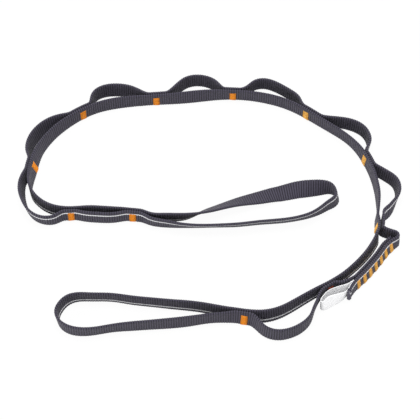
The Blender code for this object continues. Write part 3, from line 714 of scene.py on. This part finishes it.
def material(name, colour, roughness):
    """A material, its node tree and its shader."""
    made = bpy.data.materials.new(name)
    made.use_nodes = True
    tree = made.node_tree
    shader = tree.nodes["Principled BSDF"]
    shader.inputs["Base Color"].default_value = (*colour, 1)
    shader.inputs["Roughness"].default_value = roughness
    shader.inputs["Metallic"].default_value = 0
    return made, tree, shader


def lay_of(tree):
    """Distances along and round the strap in millimetres, from its map."""
    lay = tree.nodes.new("ShaderNodeUVMap")
    lay.uv_map = "lay"
    parts = tree.nodes.new("ShaderNodeSeparateXYZ")
    tree.links.new(lay.outputs["UV"], parts.inputs[0])
    return parts.outputs[0], parts.outputs[1]


def bumped(tree, shader, height, distance):
    bump = tree.nodes.new("ShaderNodeBump")
    bump.inputs["Strength"].default_value = 1
    bump.inputs["Distance"].default_value = distance
    tree.links.new(height, bump.inputs["Height"])
    tree.links.new(bump.outputs["Normal"], shader.inputs["Normal"])


def toned(tree, colour, tone):
    """The colour, lighter or darker with the tone."""
    node = tree.nodes.new("ShaderNodeVectorMath")
    node.operation = "SCALE"
    node.inputs[0].default_value = colour
    tree.links.new(tone, node.inputs["Scale"])
    return node.outputs[0]


def mixed(tree, share, first, second):
    """The first colour, a socket, with its share of the second, which is plain."""
    node = tree.nodes.new("ShaderNodeMix")
    node.data_type = "RGBA"
    tree.links.new(share, node.inputs["Factor"])
    tree.links.new(first, node.inputs["A"])
    node.inputs["B"].default_value = (*second, 1)
    return node.outputs["Result"]


def band(tree, across, middle, width, soft):
    """1 inside the band and 0 outside it."""
    off = maths(tree, "ABSOLUTE", maths(tree, "SUBTRACT", across, middle))
    node = tree.nodes.new("ShaderNodeMapRange")
    node.interpolation_type = "SMOOTHSTEP"
    node.inputs["From Min"].default_value = width / 2 + soft
    node.inputs["From Max"].default_value = width / 2 - soft
    tree.links.new(off, node.inputs["Value"])
    return node.outputs["Result"]


def webbing_material():
    made, tree, shader = material("webbing", WEBBING_COLOUR, np.mean(WEBBING_ROUGHNESSES))
    along, across = lay_of(tree)
    weave = tree.nodes.new("ShaderNodeGroup")
    weave.node_tree = WEAVE
    tree.links.new(along, weave.inputs["Along"])
    tree.links.new(across, weave.inputs["Across"])
    # The weave's tone carries its painted shade into the webbing's colour.
    dark = toned(tree, WEBBING_COLOUR, weave.outputs["Tone"])
    ribs = ridge(tree, along, RIB_PITCH * MILLIMETRES)
    beads = maths(tree, "MULTIPLY_ADD", ribs, TRACER_DIP, 1 - TRACER_DIP)
    line = band(tree, across, TRACER_FROM_EDGE, TRACER_WIDTH, TRACER_SOFTNESS)
    tracer = maths(tree, "MULTIPLY", line, beads)
    tree.links.new(mixed(tree, tracer, dark, TRACER_COLOUR), shader.inputs["Base Color"])
    rough = spread(tree, weave.outputs["Height"], *WEBBING_ROUGHNESSES)
    tree.links.new(rough, shader.inputs["Roughness"])
    shader.inputs["Sheen Weight"].default_value = WEBBING_SHEEN
    shader.inputs["Sheen Roughness"].default_value = WEBBING_SHEEN_ROUGHNESS
    shader.inputs["Specular IOR Level"].default_value = WEBBING_SHINE
    bumped(tree, shader, weave.outputs["Height"], WEAVE_BUMP)
    return made


def thread_material(name):
    colour = THREAD_COLOURS[name]
    made, tree, shader = material(name, colour, THREAD_ROUGHNESS)
    place = tree.nodes.new("ShaderNodeTexCoord").outputs["Object"]
    fibres = noise(tree, place, FIBRE_SCALE, FIBRE_DETAIL, FIBRE_ROUGHNESS)
    patches = noise(tree, place, PATCH_SCALE, 1.0)
    tone = maths(tree, "ADD", spread(tree, fibres, *FIBRE_TONES), swing(tree, patches, PATCH_TONE))
    tree.links.new(toned(tree, colour, tone), shader.inputs["Base Color"])
    shader.inputs["Specular IOR Level"].default_value = THREAD_SHINE
    bumped(tree, shader, fibres, FIBRE_BUMP)
    return made


def label_material():
    made, tree, shader = material("label_satin", LABEL_COLOUR, LABEL_ROUGHNESS)
    along, across = lay_of(tree)
    warp = ridge(tree, across, LABEL_WARP_PITCH)
    weft = maths(tree, "MULTIPLY", ridge(tree, along, LABEL_WEFT_PITCH), 1 - LABEL_WARP_SHARE)
    satin = maths(tree, "MULTIPLY_ADD", warp, LABEL_WARP_SHARE, weft)
    streaks = noise(tree, stretched(tree, along, across, *LABEL_STREAKS), 1.0, 3.0)
    creases = noise(tree, stretched(tree, along, across, *LABEL_CREASES), 1.0)
    streaked = spread(tree, streaks, *LABEL_STREAK_TONES)
    # Painted shade: the tone follows the creases' height, darker in their hollows.
    tone = maths(tree, "ADD", streaked, swing(tree, creases, LABEL_CREASE_SHADE))
    tree.links.new(toned(tree, LABEL_COLOUR, tone), shader.inputs["Base Color"])
    shader.inputs["Sheen Weight"].default_value = LABEL_SHEEN
    height = maths(tree, "MULTIPLY_ADD", creases, LABEL_CREASE_HEIGHT, satin)
    bumped(tree, shader, height, LABEL_BUMP)
    return made


WEBBING = webbing_material()
THREADS = {name: thread_material(name) for name in THREAD_COLOURS}
TAPE = label_material()


# Webbing, from tack to tack

def dressed(piece, look, nodes):
    """The piece in its look, in place of the named nodes."""
    piece.data.materials.clear()
    piece.data.materials.append(look)
    if nodes:
        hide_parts(*nodes)
    return piece


def bent(piece):
    """The piece's place is baked into its mesh; it follows no body and does not bend."""
    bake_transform(piece)


WEBBING_SIZE = WEBBING_WIDTH, WEBBING_THICKNESS, WEBBING_EDGE_DEPTH
RIB_STEP = RIB_PITCH / STEPS_PER_RIB

# The face and the edge that the tracer is on: 1 for the outer face and the top edge
OUTER_FLIP = (1, 1)
MAIN_FLIP = (1, -1)
INNER_FLIP = (-1, -1)


def strap(name, rows, flipped, nodes, growth=None):
    piece = ribbon(name, rows, RIB_STEP, WEBBING_SIZE, RIB_DEPTH, flipped, growth)
    return dressed(piece, WEBBING, nodes)


def body(number):
    return f"stretch_{number}"


def span_pieces(name, rows, flipped, node, span):
    """Pieces of one strand between two tacks, cut in two where hinges stand by both tacks; a piece beside a
    hinge is baked in place, and any other follows its stretch's body.
    """
    number = span + 1
    before_side, after_side = HINGE_SIDES[span], HINGE_SIDES[span + 1]
    if before_side > 0 and after_side < 0:
        half = len(rows) // 2
        first = strap(f"{name}_{number}a", rows[: half + 1], flipped, [node])
        bent(first)
        second = strap(f"{name}_{number}b", rows[half:], flipped, [])
        bent(second)
        return
    piece = strap(f"{name}_{number}", rows, flipped, [node])
    if before_side > 0:
        bent(piece)
    elif after_side < 0:
        bent(piece)
    else:
        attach(piece, body(number))


def beaded(at_share, length):
    """Thickness of webbing whose end is melted into a bead, as a share of the plain one. The bead swells
    and falls off again; with a rounding of 1 it would end as thin as it began."""
    inside = np.clip(1 - (1 - at_share) * length / BEAD_LENGTH, 0, 1)
    return 1 + BEAD_GROWTH * np.sin(np.pi * BEAD_ROUNDING * inside) ** 2


def make_webbing():
    for span in range(LAST_TACK):
        number = span + 1
        span_pieces("main_webbing", main_rows(span), MAIN_FLIP, f"main_strand_{number}", span)
        if span == SPLICE:
            nodes = ["splice_outer_layer"]
            outer = strap("splice_webbing_outer", splice_outer_rows(), OUTER_FLIP, nodes, beaded)
            inner = strap("splice_webbing_inner", splice_inner_rows(), INNER_FLIP, ["splice_inner_layer"])
            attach(outer, body(number))
            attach(inner, body(number))
            continue
        flipped = INNER_FLIP if span == LAST_POCKET else OUTER_FLIP
        span_pieces("pocket_webbing", pocket_rows(span), flipped, f"pocket_strand_{number}", span)
    long_rows = loop_rows(0, -1, LONG_LOOP_LENGTH, LONG_LOOP_SHARES, LONG_LOOP_START_ROLL)
    long_loop = strap("long_loop_webbing", long_rows, OUTER_FLIP, ["long_end_loop"])
    bent(long_loop)
    short_rows = loop_rows(LAST_TACK, 1, SHORT_LOOP_LENGTH, SHORT_LOOP_SHARES, 0)
    short_loop = strap("short_loop_webbing", short_rows, INNER_FLIP, ["short_end_loop"])
    bent(short_loop)


def make_label():
    size = LABEL_WIDTH, LABEL_THICKNESS, LABEL_EDGE_DEPTH
    piece = ribbon("satin_label", label_rows(), LABEL_STEP, size, 0)
    dressed(piece, TAPE, ["label"])
    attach(piece, body(SPLICE + 1))


# Tacks

def zigzag(length, height, face):
    """Points (along, out, up) of the thread on one face, from the face's middle, rising from row to row."""
    count = round(height / THREAD_PITCH)
    points = []
    for i in range(count):
        side = 1 if i % 2 else -1
        low, high = -height / 2 + i * height / count, -height / 2 + (i + 1) * height / count
        wanders = CHANCE.uniform(-THREAD_WANDER, THREAD_WANDER, 2)
        start, end = -side * length / 2 - wanders[0], side * length / 2 + wanders[1]
        for share, proud in THREAD_PROFILE:
            points.append((start + (end - start) * share, face * proud, low + (high - low) * share))
    return points


def stitches(name, tack_frame, length, apart, node, on, thread):
    """A tack's thread on both faces; apart is the level distance between the layers' middles."""
    place, along, normal, lean = tack_frame
    height = rest_height(lean, *WEBBING_SIZE)
    lean = math.radians(lean)
    up = Vector((*(normal * math.sin(lean)), math.cos(lean)))
    across = Vector((*(normal * math.cos(lean)), -math.sin(lean)))
    drop = WEBBING_WIDTH / 2 - TACK_EDGE_MARGIN - TACK_HEIGHT / 2
    centre = Vector((*(place + SHIFT), height)) - up * drop
    curve = bpy.data.curves.new(name, "CURVE")
    curve.dimensions = "3D"
    curve.bevel_depth = THREAD_RADIUS
    curve.bevel_resolution = 1
    curve.use_fill_caps = True
    for face in (-1, 1):
        points = zigzag(length, TACK_HEIGHT, face)
        middle = centre + Vector((*normal, 0)) * face * apart / 2 + across * face * WEBBING_THICKNESS / 2
        spline = curve.splines.new("POLY")
        spline.points.add(len(points) - 1)
        for point, (x, y, z) in zip(spline.points, points):
            point.co = (*(middle + Vector((*along, 0)) * x + across * y + up * z), 1)
    drawn = linked(name + "_path", curve)
    graph = bpy.context.evaluated_depsgraph_get()
    mesh = bpy.data.meshes.new_from_object(drawn.evaluated_get(graph))
    bpy.data.objects.remove(drawn)
    mesh.shade_smooth()
    piece = dressed(linked(name, mesh), THREADS[thread], [node])
    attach(piece, on)


# Painted highlight and painted shade: the grazed tacks take a lighter copy of the thread, the tack behind
# the label a darker one.
def thread_of(tack):
    if tack == SHADED_TACK:
        return "shaded_thread"
    return "sheen_painted_thread" if tack in SHEEN_PAINTED_TACKS else "orange_thread"


def make_bar_tacks():
    for tack in range(LAST_TACK + 1):
        distance = TACK_AT[tack] + TACK_SLIDES[tack]
        _, along, normal, _ = frame_at(distance)
        main, sewn = np.array(row_at(distance, 0)), np.array(row_at(distance))
        here = (main + sewn)[:2] / 2, along, normal, main[2]
        apart = np.linalg.norm((main - sewn)[:2])
        on = body(tack + 1 if HINGE_SIDES[tack] < 0 else tack)
        name, node = f"tack_stitches_{tack + 1}", f"bar_tack_{tack + 1}"
        stitches(name, here, TACK_LENGTH, apart, node, on, thread_of(tack))


# The splice's tacks all take the thread copy with the painted highlight.
def make_splice_tacks():
    apart = WEBBING_THICKNESS + SPLICE_GAP
    frames = seam_frames(SPLICE_TACK_PITCH * np.arange(SPLICE_TACKS))
    for number, (place, along, normal, lean) in enumerate(frames, 1):
        here = place - normal * apart / 2, along, normal, lean + SPLICE_INNER_TWIST / 2
        name, node = f"splice_stitches_{number}", f"splice_tack_{number}"
        stitches(name, here, SPLICE_TACK_LENGTH, apart, node, body(SPLICE + 1), "sheen_painted_thread")


# Stage

def make_floor():
    bm = bmesh.new()
    bmesh.ops.create_grid(bm, x_segments=1, y_segments=1, size=FLOOR_HALF)
    mesh = bpy.data.meshes.new("floor")
    bm.to_mesh(mesh)
    bm.free()
    floor = linked("floor", mesh)
    floor.location = (0, 0, -FLOOR_DROP)
    made, tree, shader = material("white_floor", FLOOR_COLOUR, FLOOR_ROUGHNESS)
    white = tree.nodes.new("ShaderNodeEmission")
    seen = tree.nodes.new("ShaderNodeLightPath").outputs["Is Camera Ray"]
    share = maths(tree, "MULTIPLY", seen, FLOOR_WHITE)
    mix = tree.nodes.new("ShaderNodeMixShader")
    tree.links.new(share, mix.inputs[0])
    tree.links.new(shader.outputs[0], mix.inputs[1])
    tree.links.new(white.outputs[0], mix.inputs[2])
    tree.links.new(mix.outputs[0], tree.nodes["Material Output"].inputs["Surface"])
    floor.data.materials.append(made)


def make_lights():
    world = bpy.data.worlds.new("studio")
    bpy.context.scene.world = world
    world.use_nodes = True
    sky = world.node_tree.nodes["Background"]
    sky.inputs["Color"].default_value = (1, 1, 1, 1)
    sky.inputs["Strength"].default_value = FILL
    for name, (bearing, height, power) in SOFTBOXES.items():
        data = bpy.data.lights.new(name, "AREA")
        data.shape = "DISK"
        data.size = SOFTBOX_SIZE
        data.energy = power
        lamp = linked(name, data)
        bearing, height = math.radians(bearing), math.radians(height)
        level = math.cos(height)
        towards = Vector((math.sin(bearing) * level, -math.cos(bearing) * level, math.sin(height)))
        lamp.location = towards * SOFTBOX_DISTANCE
        lamp.rotation_euler = towards.to_track_quat("Z", "Y").to_euler()


def make_camera():
    data = bpy.data.cameras.new("camera")
    data.sensor_width = SENSOR_WIDTH
    data.lens = FOCAL_PIXELS / IMAGE_SIZE * SENSOR_WIDTH
    camera = linked("camera", data)
    ground = np.array([*(frame_at(0)[0] + GROUND_POINT_FROM_FIRST_TACK + SHIFT), 0])
    dip = math.radians(CAMERA_DIP)
    camera.location = ground + CAMERA_DISTANCE * np.array([0, -math.cos(dip), math.sin(dip)])
    camera.rotation_euler = (math.pi / 2 - dip, 0, 0)
    bpy.context.scene.camera = camera


make_webbing()
make_label()
make_bar_tacks()
make_splice_tacks()
make_floor()
make_lights()
make_camera()
bpy.context.scene.view_settings.view_transform = "Standard"
